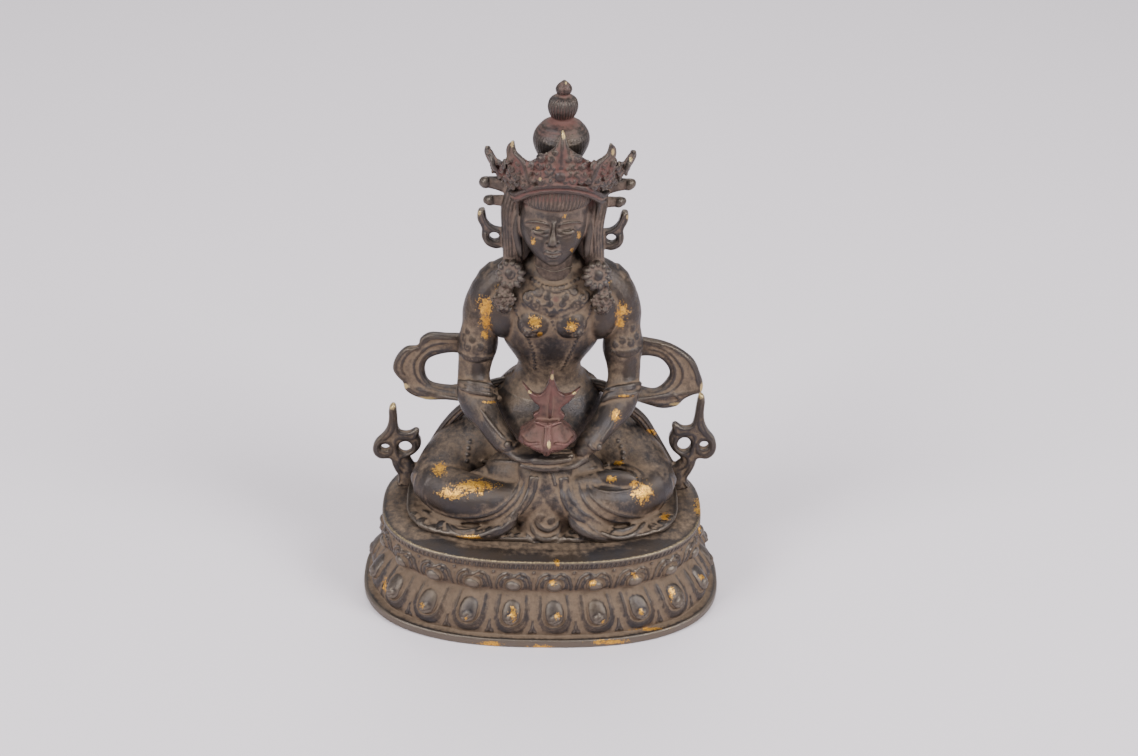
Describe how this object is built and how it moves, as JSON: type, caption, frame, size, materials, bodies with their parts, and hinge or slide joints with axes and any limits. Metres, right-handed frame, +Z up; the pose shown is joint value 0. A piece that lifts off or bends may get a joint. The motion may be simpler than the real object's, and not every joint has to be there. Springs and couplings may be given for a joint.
{
  "type": "seated bodhisattva figure",
  "caption": "Crowned bodhisattva seated cross-legged on an oval lotus base, hands in the lap holding a vase, scarves looping beside the arms.",
  "frame": {"origin": "middle of the underside of the lotus base, on the surface it stands on", "axes": "+Z up; the figure faces -Y; +X to the figure's left, which is to the right when it is looked at from the front"},
  "size_m": [0.1328, 0.0906, 0.198],
  "materials": {
    "base_bronze": "dark aged bronze, worn bright on the rim and bosses, with dry tan dust in the hollows",
    "figure_bronze": "dark aged bronze with patches of old gilding, red traces on the crown and hair, dust in the hollows",
    "vase_bronze": "bronze under a worn pinkish red, bright on the leaf's edges"
  },
  "bodies": {
    "root": {"lotus_base": "base_bronze", "figure": "figure_bronze", "vase": "vase_bronze"}
  },
  "joints": []
}
